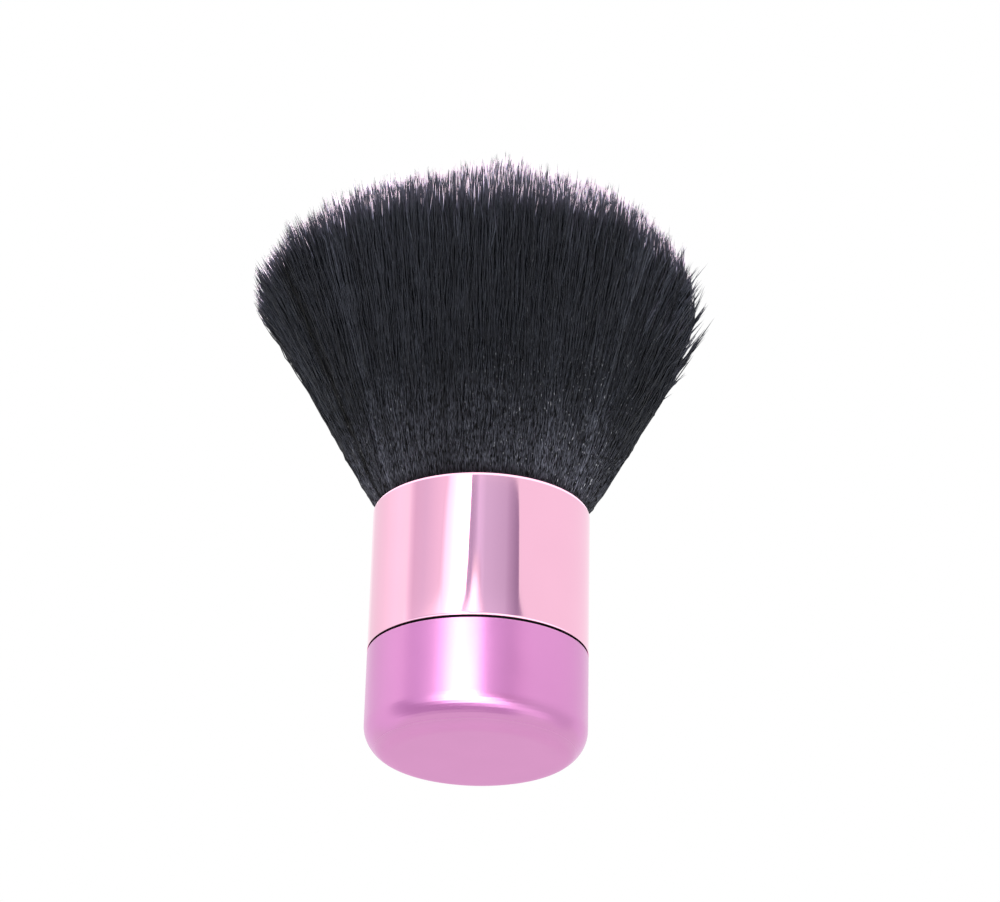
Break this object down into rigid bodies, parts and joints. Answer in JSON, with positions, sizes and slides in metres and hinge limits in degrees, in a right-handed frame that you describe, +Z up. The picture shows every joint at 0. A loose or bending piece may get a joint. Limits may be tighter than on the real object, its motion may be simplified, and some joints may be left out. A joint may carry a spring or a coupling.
{
  "type": "nail dust brush",
  "caption": "Short nail dust brush: a closed pink aluminium base cap and a polished ferrule over a weighted core, under a flared, dome-tipped tuft of black bristles.",
  "frame": {"origin": "centre of the flat base face", "axes": "+Z up along the brush's axis, from the base to the bristle tips; +X and +Y across, the brush is round"},
  "size_m": [0.064, 0.0634, 0.0855],
  "materials": {
    "satin_cap": "orchid pink anodised, fine satin",
    "polished_ferrule": "pale pink anodised, mirror polished",
    "moulded_core": "black, moulded",
    "cured_glue": "cured adhesive",
    "foam_pad": "closed-cell foam with adhesive faces",
    "steel_ballast": "turned, zinc plated",
    "collar_plastic": "natural, thin-walled",
    "potting_resin": "cured resin",
    "binding_thread": "waxed thread, close wound",
    "bristles": "black tapered nylon filaments with pale tips"
  },
  "bodies": {
    "root": {"base_cap": "satin_cap", "ferrule": "polished_ferrule", "handle_core": "moulded_core", "cap_glue_band": "cured_glue", "ferrule_glue_band": "cured_glue", "ballast_pad": "foam_pad", "ballast_slug": "steel_ballast", "tuft_collar": "collar_plastic", "root_resin": "potting_resin", "root_binding": "binding_thread", "bristles_middle": "bristles", "bristles_inner_ring": "bristles", "bristles_outer_ring": "bristles", "bristles_edge_ring": "bristles"}
  },
  "joints": []
}
